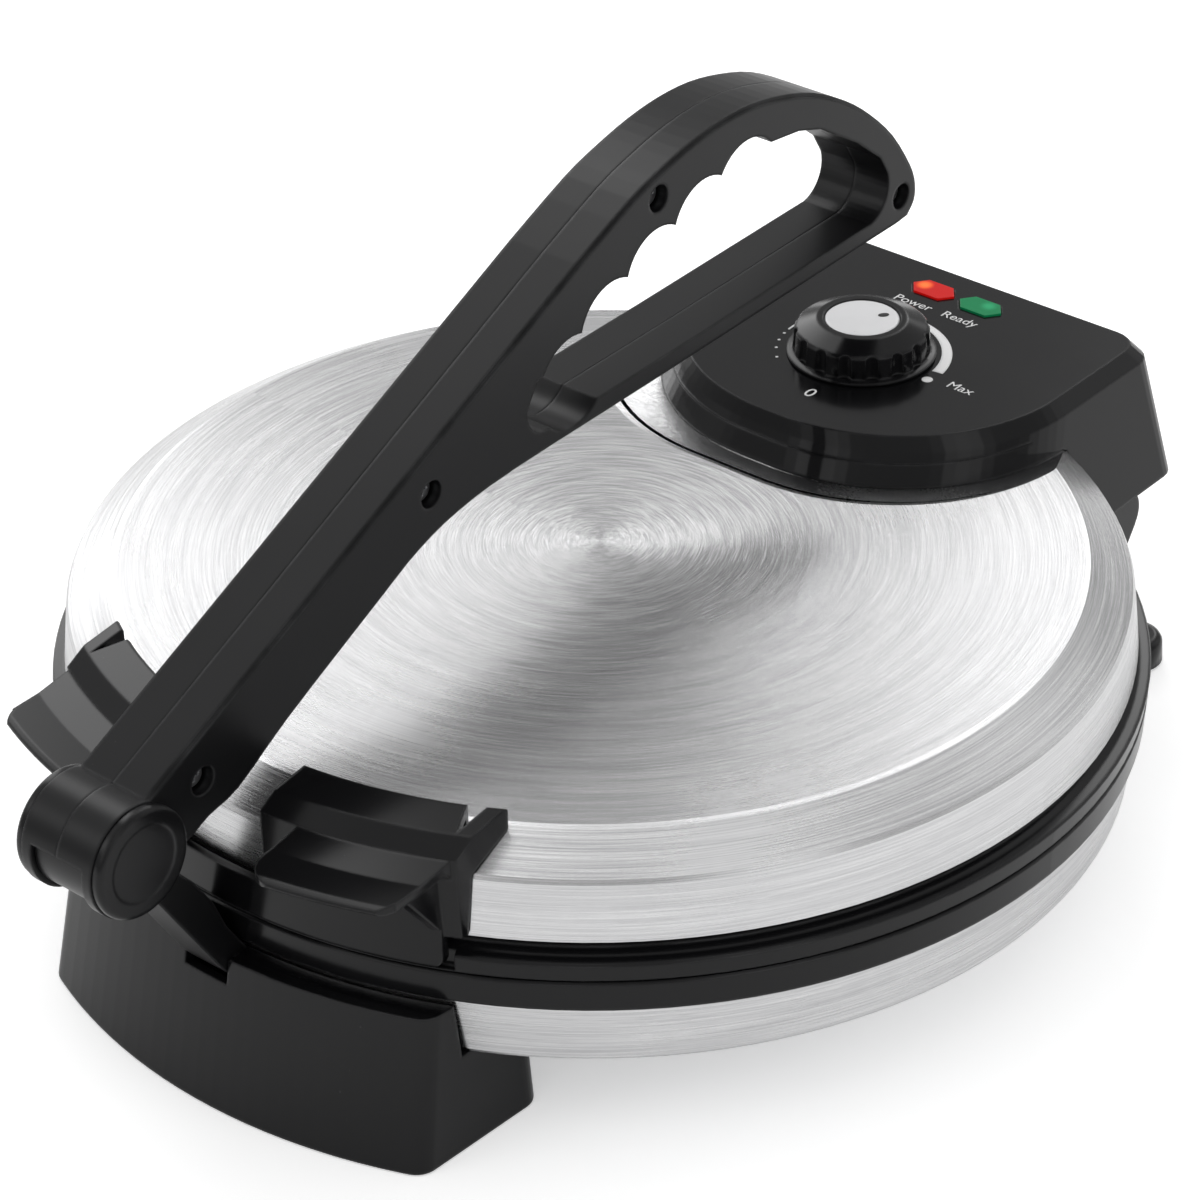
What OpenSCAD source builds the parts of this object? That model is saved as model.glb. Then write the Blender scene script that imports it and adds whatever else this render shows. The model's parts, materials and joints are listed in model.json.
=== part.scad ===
// Electric roti maker: round stainless base and lid, press arm on a link, fluted control knob.
// Heights are measured from the lower edge of the base shell; seat() stands everything on its feet.

/* [Base and lid] */
// Height of the base shell's lower edge over the table
stand_h = 27; // [24:0.5:30]
// Radius of the lid ring's lip
ring_r = 147.5; // [147.2:0.1:148.5]
// Radius of the two baking plates
plate_r = 127.6; // [120:0.1:128]
// Height of the parting line between base ring and lid ring
seam_z = 26.8; // [26.5:0.1:27]
// Height of the lid's flat top
lid_top_z = 60.4; // [59.5:0.1:61]
// Thickness of the stainless sheet
sheet_t = 0.8; // [0.5:0.1:1]

/* [Press arm] */
// Width of the arm over both halves
arm_w = 23.2; // [20:0.1:24]
// Radius of the pivot barrel
barrel_r = 15; // [14.8:0.1:15.5]
// Distance of the barrel's axis in front of the body's axis
barrel_fwd = 183; // [182.5:0.1:183.5]
// Height of the barrel's axis
barrel_z = 65.6; // [65.2:0.1:66]
// Width of the slot that the link swings in
slot_w = 17.2; // [17:0.1:17.6]
// Diameter of the screw recesses
recess_d = 7.5; // [6:0.1:8]

/* [Link] */
// Width of the link
link_w = 13.8; // [12:0.1:14]
// Distance of the lower pivot in front of the body's axis
foot_pivot_fwd = 149; // [148.9:0.1:149.3]
// Height of the lower pivot
foot_pivot_z = 13; // [12.8:0.1:13.4]

/* [Hinge and control housing] */
// Distance of the lid hinge behind the body's axis
hinge_back = 156; // [155.5:0.1:156.5]
// Height of the lid hinge
hinge_z = 18; // [17.8:0.1:18.2]
// Radius of the hinge knuckles
knuckle_r = 8; // [7:0.1:8]
// Height of the housing's top
housing_top_z = 67.5; // [66.5:0.1:68.5]

/* [Knob and lamps] */
// Distance of the knob's axis behind the body's axis
knob_back = 116.3; // [115:0.1:118]
// Radius of the knob's flange
knob_r = 21.3; // [20:0.1:22]
// Number of flutes round the knob
flutes = 16; // [12:1:20]
// Length of an indicator lens
lens_l = 14.5; // [12:0.1:16]
// Width of an indicator lens
lens_w = 8; // [6:0.1:9]

/* [Hidden] */
$fn = 96;

black = "#1c1d20";
satin_black = "#2a2c30";
steel = "silver";
dark_steel = "slategray";

// The body's axis sits so that barrel and housing reach equally far from the origin.
housing_rear = 178;
housing_wall = 2.4;
boss_x = 38;
boss_y = 112;
body_y = (barrel_fwd + barrel_r - housing_rear) / 2;

shell_bottom_r = 143.5;
shell_top_r = 145.2;
shell_top_z = 21;
seam_gap = 0.2;
base_top_z = seam_z - seam_gap;
lid_bottom_z = seam_z + seam_gap;
plate_rim_gap = 1.6;
ring_inner_r = plate_r + plate_rim_gap;
lower_plate_z = 21.4;
lower_plate_top_z = 25.6;
upper_plate_z = 27.6;
upper_plate_top_z = 31.8;
heater_r = 86;
heater_tube_r = 3.3;
heater_fit = 0.1;
heater_turn = 330;
post_circle_r = 58;
post_r = 3;
cover_z = sheet_t;
cover_dish_z = 3;
screw_circle_r = 136;
hinge_pin_r = 2.5;
run_fit = 0.05;
press_fit = 0.01;
eye_r = 4;
link_pin_r = 2;
barrel_eye_r = 13.6;
barrel_bore_r = 13.95;
axle_r = 3;
half_w = arm_w / 2;
barrel_lean = 31.2;
grip_notch_w = 32;
grip_notch_z = 39.5;
recess_floor_z = 54.5;
gland_z = 7;

// ---------- shared shapes ----------

// Stands the part on the table, with its origin at the middle of its footprint.
module seat() {
    translate([0, body_y, stand_h]) children();
}

// Turns a profile of [radius, height] points about the body's axis.
module revolve(profile) {
    rotate_extrude($fn = 180) polygon(profile);
}

// Turns a profile through part of a turn, centred on the front of the body.
module revolve_front(profile, half_angle) {
    rotate([0, 0, -90 - half_angle])
        rotate_extrude(angle = 2 * half_angle, $fn = 180) polygon(profile);
}

// Draws a [y, z] outline upright and extrudes it along X from x0 to x1.
module along_x(x0, x1) {
    translate([x0, 0, 0]) rotate([90, 0, 90]) linear_extrude(x1 - x0) children();
}

// Cylinder along X between x0 and x1 at [y, z].
module rod_x(at, r, x0, x1) {
    translate([x0, at[0], at[1]]) rotate([0, 90, 0]) cylinder(r = r, h = x1 - x0);
}

// Copies its children to both sides of the plane of symmetry.
module both_sides() {
    children();
    mirror([1, 0, 0]) children();
}

// Copies its children round the body's axis.
module around(count, start = 0) {
    for (i = [0 : count - 1]) rotate([0, 0, start + i * 360 / count]) children();
}

// Points of an arc about c from angle a0 to a1 in n steps.
function arc(c, r, a0, a1, n) =
    [for (i = [0 : n]) let(a = a0 + (a1 - a0) * i / n) [c[0] + r * cos(a), c[1] + r * sin(a)]];

// Smooth curve through the given points, with n steps between neighbours.
function spline(p, n) = [
    for (i = [0 : len(p) - 2], j = [0 : n - 1])
        let(a = p[max(i - 1, 0)], b = p[i], c = p[i + 1], d = p[min(i + 2, len(p) - 1)], t = j / n)
        0.5 * (2 * b + (c - a) * t + (2 * a - 5 * b + 4 * c - d) * t * t
            + (3 * b - a - 3 * c + d) * t * t * t),
    p[len(p) - 1]];

// Moves every point of a closed anticlockwise outline inwards by d.
function inset(p, d) = [
    for (i = [0 : len(p) - 1])
        let(a = p[(i + len(p) - 1) % len(p)], b = p[(i + 1) % len(p)], v = (b - a) / norm(b - a))
        p[i] + d * [-v[1], v[0]]];

// Plan outline with a softly rounded front, as the housing has: half width, front edge, corner radius.
module bow_plan(side, front, corner, rear) {
    c = [side - corner, front + corner];
    rear_r = 8;
    polygon(concat(
        arc([-c[0], c[1]], corner, 180, 270, 24),
        arc(c, corner, 270, 360, 24),
        arc([side - rear_r, rear - rear_r], rear_r, 0, 90, 6),
        arc([rear_r - side, rear - rear_r], rear_r, 90, 180, 6)));
}

// Thin slice of a bow-fronted plan at height z, for use in a hull.
module bow_slice(z, side, front, corner, rear) {
    translate([0, 0, z]) linear_extrude(0.01) bow_plan(side, front, corner, rear);
}

// Pan-head screw with its head's underside at the origin, pointing down.
module screw(head_r, head_h, shank_r, shank_l) {
    difference() {
        cylinder(r = head_r, h = head_h);
        for (a = [0, 90])
            rotate([0, 0, a]) translate([-head_r * 0.6, -0.4, head_h - 0.8]) cube([head_r * 1.2, 0.8, 1]);
    }
    translate([0, 0, -shank_l]) cylinder(r = shank_r, h = shank_l);
}

// ---------- base ----------

module lower_shell() color(steel) seat() difference() {
    revolve([
        [132, 0], [142.2, 0], [143.1, 0.4], [shell_bottom_r, 1.3], [shell_top_r, shell_top_z],
        [shell_top_r - sheet_t, shell_top_z], [shell_bottom_r - sheet_t, 1.5],
        [142.0, sheet_t], [132, sheet_t]]);
    around(6, 30) translate([screw_circle_r, 0, -1]) cylinder(r = 1.6, h = 3);
    translate([0, 130, gland_z]) rotate([-90, 0, 0]) cylinder(r = 5.1, h = 20);
}

module base_ring() color(black) seat() {
    revolve([
        [shell_top_r + 0.1, shell_top_z + 0.1], [shell_top_r + 0.1, 18.2], [146.8, 18.2],
        [147.2, base_top_z - 0.5], [146.7, base_top_z],
        [ring_inner_r + 0.4, base_top_z], [ring_inner_r, base_top_z - 0.4],
        [ring_inner_r, 18.5], [ring_inner_r + 1.8, 18.5],
        [ring_inner_r + 1.8, 24.4], [144, 24.4], [144, shell_top_z + 0.1]]);
    around(12, 15)
        translate([ring_inner_r + 1, -0.9, 19.5]) cube([144 - ring_inner_r - 1, 1.8, 5.5]);
}

module bottom_cover() color(dark_steel) seat() difference() {
    revolve([
        [0, cover_dish_z], [112, cover_dish_z], [117, cover_z], [139, cover_z],
        [139, cover_z + sheet_t], [117.4, cover_z + sheet_t],
        [112.4, cover_dish_z + sheet_t], [0, cover_dish_z + sheet_t]]);
    around(6, 30) translate([screw_circle_r, 0, -1]) cylinder(r = 1.6, h = 5);
    for (row = [[74, 16, 12], [92, 20, 16]])
        around(row[1]) translate([row[0], 0, 0]) vent_slot(row[2], 4);
}

module vent_slot(l, w) {
    translate([-l / 2 + w / 2, -w / 2, 0]) cube([l - w, w, 6]);
    for (s = [-1, 1]) translate([s * (l - w) / 2, 0, 0]) cylinder(r = w / 2, h = 6, $fn = 32);
}

module heater(z, leads_to) {
    translate([0, 0, z]) rotate([0, 0, 105])
        rotate_extrude(angle = heater_turn) translate([heater_r, 0]) circle(heater_tube_r, $fn = 48);
    for (a = [107, 103 + heater_turn]) rotate([0, 0, a])
        translate([heater_r, 0, z + min(0, leads_to)]) cylinder(r = 2.4, h = abs(leads_to));
}

module lower_plate() color("dimgray") seat() difference() {
    union() {
        revolve([
            [0, lower_plate_z], [plate_r - 0.6, lower_plate_z], [plate_r, lower_plate_z + 0.6],
            [plate_r, lower_plate_top_z - 0.6], [plate_r - 0.6, lower_plate_top_z],
            [plate_r - 2.2, lower_plate_top_z], [plate_r - 3.6, lower_plate_top_z - 0.8],
            [0, lower_plate_top_z - 0.8]]);
        revolve([[heater_r - 7, 18.6], [heater_r + 7, 18.6],
            [heater_r + 8, lower_plate_z + 0.1], [heater_r - 8, lower_plate_z + 0.1]]);
    }
    translate([0, 0, 18.6]) rotate_extrude()
        translate([heater_r, 0]) circle(heater_tube_r + heater_fit, $fn = 48);
}

module lower_heater() color("gray") seat() heater(18.6, -9);

module lower_reflector() color(steel) seat() difference() {
    revolve([
        [0, 9], [100, 9], [118, 16], [121, 16], [121, 15.4], [118.2, 15.4], [100.2, 8.4], [0, 8.4]]);
    around(3, 30) translate([post_circle_r, 0, 7]) cylinder(r = post_r + 0.3, h = 4);
    for (a = [107, 103 + heater_turn])
        rotate([0, 0, a]) translate([heater_r, 0, 7]) cylinder(r = heater_tube_r + 0.5, h = 4);
}

module lower_posts() color(steel) seat() around(3, 30)
    translate([post_circle_r, 0, cover_dish_z + sheet_t]) {
        cylinder(r = post_r, h = lower_plate_z - cover_dish_z - sheet_t);
        translate([0, 0, 5.2]) cylinder(r = 6, h = 1.2);
    }

// Plan of the front foot, drafted with height: narrower and less deep at the top.
module foot_plan(reach, corner_x, rear_x) {
    intersection() {
        translate([0, 0]) circle(reach, $fn = 180);
        polygon([[-rear_x, -105], [-corner_x, -reach], [corner_x, -reach], [rear_x, -105]]);
    }
}

module foot_slice(z, reach, corner_x, rear_x) {
    translate([0, 0, z]) linear_extrude(0.5) offset(r = 6, $fn = 32) offset(delta = -6)
        foot_plan(reach, corner_x, rear_x);
}

foot_bottom_z = 0.5 - stand_h;
foot_top_z = 15.5;
front_pad_h = 3;

module foot_outside() {
    hull() {
        foot_slice(foot_bottom_z, 161.3, 64.5, 68);
        foot_slice(foot_top_z - 0.5, 152.7, 61.8, 64);
    }
}

module foot_inside() {
    hull() {
        foot_slice(foot_bottom_z - 1, 158.9, 62.1, 65.6);
        foot_slice(foot_top_z - 2.9, 150.6, 59.4, 61.6);
    }
}

// Ribs, the shelf under the base shell and the cheeks that hold the link's pin.
module foot_stiffeners() {
    difference() {
        for (x = [-54, -36, -18, 18, 36, 54])
            translate([x - 1.2, -165, foot_bottom_z + 1]) cube([2.4, 58, 60]);
        translate([0, 0, -40]) cylinder(r = 141, h = 80, $fn = 180);
    }
    revolve_front([[139.6, -2.4], [150, -2.4], [150, 0.1], [139.6, 0.1]], 30);
    both_sides() translate([link_w / 2, -160, -3]) cube([7, 18, 20]);
    both_sides() translate([36, -151, front_pad_h - stand_h]) cube([18, 18, 2]);
}

module front_foot() color(black) seat() difference() {
    union() {
        difference() {
            foot_outside();
            foot_inside();
        }
        intersection() {
            foot_outside();
            foot_stiffeners();
        }
    }
    translate([-80, -106.5, -40]) cube([160, 30, 80]);
    cylinder(r = 145.6, h = 60, $fn = 180);
    translate([-link_w / 2 - 0.4, -170, 8.5]) cube([link_w + 0.8, 40, 20]);
    translate([-link_w / 2 - 0.4, -151, -1]) cube([link_w + 0.8, 20, 20]);
    rod_x([-foot_pivot_fwd, foot_pivot_z], link_pin_r + press_fit, -13.2, 13.2);
}

module hinge_block() color(black) seat() difference() {
    union() {
        intersection() {
            revolve([[145, -4], [152, -4], [152, 9], [145, 9]]);
            translate([-66, 100, -10]) cube([132, 60, 30]);
        }
        both_sides() {
            along_x(56, 66) bracket_profile();
            along_x(33, 43.6) bracket_profile();
        }
        translate([0, 141, gland_z]) rotate([-90, 0, 0]) cylinder(r = 9, h = 12);
    }
    translate([0, 0, -10]) cylinder(r = 145.7, h = 28, $fn = 180);
    translate([0, 0, 17.9]) cylinder(r = 147.6, h = 12, $fn = 180);
    rod_x([hinge_back, hinge_z], hinge_pin_r + press_fit, -63, 63);
    translate([0, 138, gland_z]) rotate([-90, 0, 0]) cylinder(r = 5.01, h = 20);
}

module bracket_profile() {
    translate([hinge_back, hinge_z]) circle(knuckle_r);
    polygon([[128, -4], [128, 12], [138, 20], [hinge_back - 4, hinge_z + 6.9],
        [hinge_back + knuckle_r, hinge_z], [hinge_back + 6.5, hinge_z - 5], [151, -4]]);
}

module rear_legs() color(black) seat() both_sides()
    translate([61, 144, 3.2 - stand_h]) {
        difference() {
            cylinder(r1 = 8.6, r2 = 6.6, h = stand_h - 7.2);
            translate([0, 0, -1]) cylinder(r = 5, h = stand_h - 10);
        }
        translate([-5.5, -0.8, 1]) cube([11, 1.6, stand_h - 11]);
    }

module rubber_feet() color("black") seat() both_sides() {
    translate([61, 144, -stand_h]) cylinder(r = 10, h = 3.2);
    translate([45, -142, -stand_h]) cylinder(r = 6, h = front_pad_h);
}

module hinge_pin() color(steel) seat()
    rod_x([hinge_back, hinge_z], hinge_pin_r, -62.6, 62.6);

module cord_gland() color(satin_black) seat() translate([0, 0, gland_z]) rotate([-90, 0, 0]) difference() {
    union() {
        translate([0, 0, 141]) cylinder(r = 5, h = 12);
        translate([0, 0, 153]) cylinder(r = 7, h = 2);
        translate([0, 0, 155]) cylinder(r1 = 6, r2 = 5, h = 3);
    }
    translate([0, 0, 140]) cylinder(r = 3.4, h = 20);
}

module terminal_block() color("ivory") seat() translate([0, 126, cover_z + sheet_t]) difference() {
    translate([-16, -5, 0]) cube([32, 10, 11]);
    for (x = [-10, 0, 10]) {
        translate([x, -6, 4]) rotate([-90, 0, 0]) cylinder(r = 1.8, h = 12);
        translate([x, 0, 6]) cylinder(r = 1.5, h = 6);
    }
}

module thermal_fuse() color("lightgray") seat() translate([30, 0, lower_plate_z - 2.6]) {
    rotate([0, 90, 0]) cylinder(r = 2.6, h = 14);
    translate([-6, 0, 0]) rotate([0, 90, 0]) cylinder(r = 0.6, h = 26);
}

module link_pin() color(steel) seat()
    rod_x([-foot_pivot_fwd, foot_pivot_z], link_pin_r, -13, 13);

module cover_screws() color(steel) seat() around(6, 30)
    translate([screw_circle_r, 0, 0]) mirror([0, 0, 1]) screw(3.2, 1.8, 1.5, 8);

// ---------- link ----------

// Side view of the link with its lower pivot at the origin: s runs up the link, n towards the front.
module link_outline() {
    up = [-sin(barrel_lean), cos(barrel_lean)];
    fwd = [-cos(barrel_lean), -sin(barrel_lean)];
    polygon([for (q = [[0, 4], [3, 4.4], [52, 4.4], [52, -3.2], [44, -3.4], [34, -5.4],
        [22, -5.6], [12, -3.9], [0, -4]]) q[0] * up + q[1] * fwd]);
    circle(eye_r);
}

module link() color(satin_black) seat() difference() {
    union() {
        translate([0, -foot_pivot_fwd, foot_pivot_z]) along_x(-link_w / 2, link_w / 2) link_outline();
        rod_x([-barrel_fwd, barrel_z], barrel_eye_r, -slot_w / 2 + 0.3, slot_w / 2 - 0.3);
    }
    rod_x([-foot_pivot_fwd, foot_pivot_z], link_pin_r + run_fit, -20, 20);
    rod_x([-barrel_fwd, barrel_z], axle_r + run_fit, -20, 20);
}

// ---------- press arm ----------

edge_step = 0.9;

// Outline of the arm in [y, z], anticlockwise from the underside of the barrel end.
arm_outline = concat(
    spline([[-176, 60], [-166.5, 60.8], [-158.7, 64], [-148.3, 66.6], [-130.3, 77.2],
        [-96.8, 94.1], [-82, 101.2], [-66.9, 105.4], [-44.2, 107.6], [11.5, 108.8],
        [98.6, 111.2], [116, 111.6]], 3),
    spline([[120.5, 112.1], [124, 116], [124.4, 121.5], [122, 127.6], [113.5, 139.6],
        [102.6, 150], [91.4, 158.2], [77.7, 165.5], [64.4, 169.8], [51.4, 172.3],
        [38.6, 172.6], [26.1, 171.2], [13.7, 168.4], [1.5, 164.6], [-20, 155.2]], 3),
    [[-178, 79.9]]);

// Finger grooves along the upper side of the hand opening: centre points of the valleys.
groove_r = 13;
groove_valleys = [[46, 163.3], [27, 158.8], [7, 152], [-12, 144], [-29, 134.6]];
groove_dirs = [100, 106, 110, 114, 118];

module hand_opening() {
    polygon(concat(
        arc([-33, 121.8], 8, 180, 272, 8),
        [[30, 114.9], [92.8, 116.5]],
        arc([101.6, 126.2], 9.6, -80, 20, 10),
        [[107, 135.5], [96, 144.3], [79.3, 154.7], [69.9, 157.7], [56.7, 159.2],
            [36.5, 156.2], [16, 149.5], [-3.5, 143], [-21.4, 133.9], [-37, 129]]));
    for (i = [0 : 4])
        translate(groove_valleys[i] - groove_r * [cos(groove_dirs[i]), sin(groove_dirs[i])])
            circle(groove_r);
}

screw_places = [[-160, 75.5], [-76.9, 115.4], [11.6, 161], [117.1, 119.9]];
slot_front_angle = 166;
slot_rear_angle = 323;

// One half of the arm on the +X side, from the middle plane out to its flat side.
module arm_half() {
    b = [-barrel_fwd, barrel_z];
    difference() {
        union() {
            along_x(0, half_w - edge_step) polygon(arm_outline);
            along_x(half_w - edge_step - 0.1, half_w) polygon(inset(arm_outline, edge_step));
            rod_x(b, barrel_r, 0, half_w);
        }
        rod_x(b, barrel_bore_r, -1, slot_w / 2);
        along_x(-1, slot_w / 2) translate(b) polygon(concat(
            [[0, 0]], arc([0, 0], 30, slot_front_angle, slot_rear_angle, 12)));
        rod_x(b, axle_r + press_fit, -1, half_w - 0.6);
        along_x(-1, half_w + 1) hand_opening();
    }
}

module arm_right() color(satin_black) seat() difference() {
    arm_half();
    for (p = screw_places) {
        rod_x(p, recess_d / 2, 6.2, half_w + 1);
        rod_x(p, 1.7, -1, 7);
    }
}

module arm_left() color(satin_black) seat() difference() {
    mirror([1, 0, 0]) arm_half();
    for (p = screw_places) rod_x(p, 1.41, -8.4, 1);
}

module barrel_axle() color(steel) seat()
    rod_x([-barrel_fwd, barrel_z], axle_r, 0.7 - half_w, half_w - 0.7);

module barrel_cap() {
    at = [-barrel_fwd, barrel_z];
    translate([half_w, at[0], at[1]]) rotate([0, 90, 0]) rotate_extrude() polygon(concat(
        [[0, 0], [14.6, 0]], arc([13.2, 1.4], 1.4, 0, 90, 6),
        [[10.2, 2.8], [10, 2.5], [0, 2.5]]));
}

module barrel_cap_right() color(satin_black) seat() barrel_cap();

module barrel_cap_left() color(satin_black) seat() mirror([1, 0, 0]) barrel_cap();

module arm_screws() color(steel) seat() for (p = screw_places)
    translate([6.2, p[0], p[1]]) rotate([0, 90, 0]) screw(3, 2, 1.4, 14);

// ---------- lid ----------

// Lid profile, moved inwards by t for the inner face of the sheet.
function lid_profile(t) = [
    [0, 36.6], [143.9 - t, 36.6], [142.2 - t, 52.2], [141.5 - t, 53.5 - t / 2],
    [130.0 - t / 3, lid_top_z - 0.4 - t], [128.6 - t / 3, lid_top_z - t], [0, lid_top_z - t]];

// Tray pressed into the lid under the housing, sloping down to its floor.
module lid_tray(t) {
    hull() {
        bow_slice(lid_top_z + 0.02 + t, 74 + t, 50.5 - t, 61, 230);
        bow_slice(recess_floor_z - t, 64.6 + t, 66.4 - t, 61, 230);
    }
}

module lid_shell() color(steel) seat() difference() {
    revolve(lid_profile(0));
    lid_tray(0);
    difference() {
        translate([0, 0, -0.5]) revolve(concat(
            [[0, 36], [143.9 - sheet_t, 36]], [for (i = [1 : 6]) lid_profile(sheet_t)[i] + [0, 0.5]]));
        lid_tray(sheet_t);
    }
    translate([0, knob_back, 50]) cylinder(r = 5, h = 6);
    both_sides() translate([boss_x, boss_y, 50]) cylinder(r = 1.4, h = 6);
}

module lid_ring() color(black) seat() difference() {
    union() {
        revolve([
            [ring_inner_r + 0.4, lid_bottom_z], [146.6, lid_bottom_z], [147.1, lid_bottom_z + 0.5],
            [ring_r, 32], [147, 32.5], [144.6, 32.9], [142.2, 34], [142.2, 42], [140.6, 42],
            [140.6, 30.6], [ring_inner_r + 1.8, 29], [ring_inner_r + 1.8, 35],
            [ring_inner_r, 35], [ring_inner_r, lid_bottom_z + 0.4]]);
        around(12, 15)
            translate([ring_inner_r + 1, -0.9, 28.5]) cube([142 - ring_inner_r - 1, 1.8, 6]);
    }
    translate([0, 0, 27.8]) revolve_front([[145.4, 0], [150, 0], [150, 20], [145.4, 20]], 26);
}

module upper_plate() color("dimgray") seat() difference() {
    union() {
        revolve([
            [0, upper_plate_z], [plate_r - 0.6, upper_plate_z], [plate_r, upper_plate_z + 0.6],
            [plate_r, upper_plate_top_z - 0.6], [plate_r - 0.6, upper_plate_top_z],
            [0, upper_plate_top_z]]);
        revolve([[heater_r - 8, upper_plate_top_z - 0.1], [heater_r + 8, upper_plate_top_z - 0.1],
            [heater_r + 7, 34.6], [heater_r - 7, 34.6]]);
    }
    translate([0, 0, 34.6]) rotate_extrude()
        translate([heater_r, 0]) circle(heater_tube_r + heater_fit, $fn = 48);
}

module upper_heater() color("gray") seat() heater(34.6, 9);

module upper_reflector() color(steel) seat() difference() {
    revolve([
        [0, 44], [100, 44], [118, 38], [121, 38], [121, 38.6], [118.2, 38.6], [100.2, 44.6], [0, 44.6]]);
    around(3, 30) translate([post_circle_r, 0, 43]) cylinder(r = post_r + 0.3, h = 4);
    for (a = [107, 103 + heater_turn])
        rotate([0, 0, a]) translate([heater_r, 0, 42]) cylinder(r = heater_tube_r + 0.5, h = 4);
}

module upper_posts() color(steel) seat() for (a = [30, 150, 270]) rotate([0, 0, a])
    translate([post_circle_r, 0, upper_plate_top_z]) {
        cylinder(r = post_r, h = lid_top_z - sheet_t - upper_plate_top_z);
        translate([0, 0, 11]) cylinder(r = 6, h = 1.2);
    }

// Plan of one wing's lip on the +X side.
module wing_plan() {
    outer_r = 12;
    inner_r = 8;
    offset_x = 27;
    side_x = 65;
    intersection() {
        circle(168.4, $fn = 180);
        union() {
            translate([offset_x, -152]) square([side_x - offset_x, 40]);
            translate([offset_x + inner_r, -156.6]) circle(inner_r);
            translate([side_x - outer_r, -149]) circle(outer_r);
            polygon([[offset_x + inner_r, -156], [offset_x + inner_r, -170], [side_x - outer_r, -170],
                [side_x - outer_r, -148], [side_x, -149], [side_x, -140], [offset_x, -140],
                [offset_x, -156.6]]);
        }
    }
}

module front_grip() color(black) seat() difference() {
    union() {
        revolve_front([
            [131, 59.8], [131, 65.3], [131.7, 66], [142, 64.6], [147.6, 61.2], [147.6, 57],
            [145.5, 57], [141, 61.7], [133.2, 62.8], [133.2, 58.7]], 26);
        intersection() {
            revolve_front([[145.5, 28], [147.1, 28], [147.6, 28.6], [147.6, 58], [145.5, 58]], 27);
            along_y(-200, -100) skirt_face();
        }
        both_sides() intersection() {
            revolve_front([
                [146, 61.6], [148, 60.9], [157, 59.5], [166.6, 59.3], [168.1, 58.8], [168.4, 58.1],
                [167.9, 57.3], [166.8, 57], [157, 57.2], [149.5, 57.6], [146.6, 54]], 27);
            linear_extrude(80) wing_plan();
        }
        both_sides() intersection() {
            revolve_front([
                [131, 59.8], [131, 65.3], [131.7, 66], [142, 64.6], [147.6, 61.2], [147.6, 52],
                [146.6, 37.3], [144.4, 37.3], [142.7, 53.8]], 34);
            translate([62, -160, 30]) cube([4, 60, 50]);
        }
        both_sides() intersection() {
            revolve_front([[146, 40], [148, 40], [160, 57.4], [146, 58]], 27);
            translate([59.6, -160, 30]) cube([2.4, 60, 50]);
        }
    }
    translate([-grip_notch_w / 2, -175, grip_notch_z]) cube([grip_notch_w, 80, 60]);
}

// Front view of the skirt, as wide as both wings, with rounded lower corners.
module skirt_face() {
    w = 62;
    r = 3;
    polygon(concat([[-w, 60]], arc([r - w, 28 + r], r, 180, 270, 6),
        arc([w - r, 28 + r], r, 270, 360, 6), [[w, 60]]));
}

// Draws an [x, z] outline upright and extrudes it along Y from y0 to y1.
module along_y(y0, y1) {
    translate([0, y1, 0]) rotate([90, 0, 0]) linear_extrude(y1 - y0) children();
}

lens_red_x = -5.2;
lens_green_x = 11.4;
lens_back = 158.6;
lens_flange_t = 1.2;
lens_bottom_z = housing_top_z - housing_wall - lens_flange_t - 0.1;

module lens_hole(grow) {
    l = lens_l / 2 + grow;
    w = lens_w / 2 + grow;
    polygon([[-l, 0], [-l + w * 0.75, -w], [l - w * 0.75, -w], [l, 0], [l - w * 0.75, w], [-l + w * 0.75, w]]);
}

module control_housing() color(black) seat() {
    housing_cover();
    both_sides() translate([boss_x, boss_y, recess_floor_z + 0.1]) difference() {
        cylinder(r = 4, h = housing_top_z - housing_wall - recess_floor_z);
        translate([0, 0, -1]) cylinder(r = 1.4, h = 10);
    }
}

module housing_cover() difference() {
    union() {
        hull() {
            bow_slice(63.2, 61.8, 71.6, 57, 174);
            bow_slice(housing_top_z - 0.01, 58.6, 73.3, 55, 171);
        }
        hull() {
            bow_slice(lid_bottom_z, 70, 52, 61, housing_rear);
            bow_slice(63.2, 61.8, 71.6, 57, 174);
        }
    }
    hull() {
        bow_slice(lid_bottom_z - 1, 67.8, 54, 59, housing_rear - 2.4);
        bow_slice(62, 59.6, 74, 55, 171.6);
    }
    hull() {
        bow_slice(61.9, 59.6, 74, 55, 171.6);
        bow_slice(housing_top_z - housing_wall, 57.6, 75.2, 53, 169.6);
    }
    difference() {
        translate([0, 0, 0.1]) revolve(concat([[0, 26], [ring_r + 0.3, 26], [ring_r + 0.3, 32.8],
            [144.3, 33.4], [144.3, 36.6]], [for (i = [2 : 6]) lid_profile(-0.2)[i]]));
        translate([0, 0, 0.1]) lid_tray(0);
    }
    translate([0, knob_back, 60]) cylinder(r = 4.5, h = 10);
    for (x = [lens_red_x, lens_green_x])
        translate([x, lens_back, 60]) linear_extrude(10) lens_hole(0.15);
}

module hinge_arms() color(satin_black) seat() difference() {
    both_sides() along_x(44, 55.6) {
        translate([hinge_back, hinge_z]) circle(knuckle_r);
        polygon([[hinge_back - knuckle_r, hinge_z], [hinge_back - knuckle_r, lid_bottom_z + 1],
            [132, lid_bottom_z + 1], [132, 33], [hinge_back + 4, 33], [hinge_back + knuckle_r, 27],
            [hinge_back + knuckle_r, hinge_z]]);
    }
    rod_x([hinge_back, hinge_z], hinge_pin_r + run_fit, -60, 60);
    revolve([[100, 10], [ring_r + 0.1, 10], [ring_r + 0.1, 32.6], [144.5, 33.2], [100, 33.2]]);
}

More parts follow.
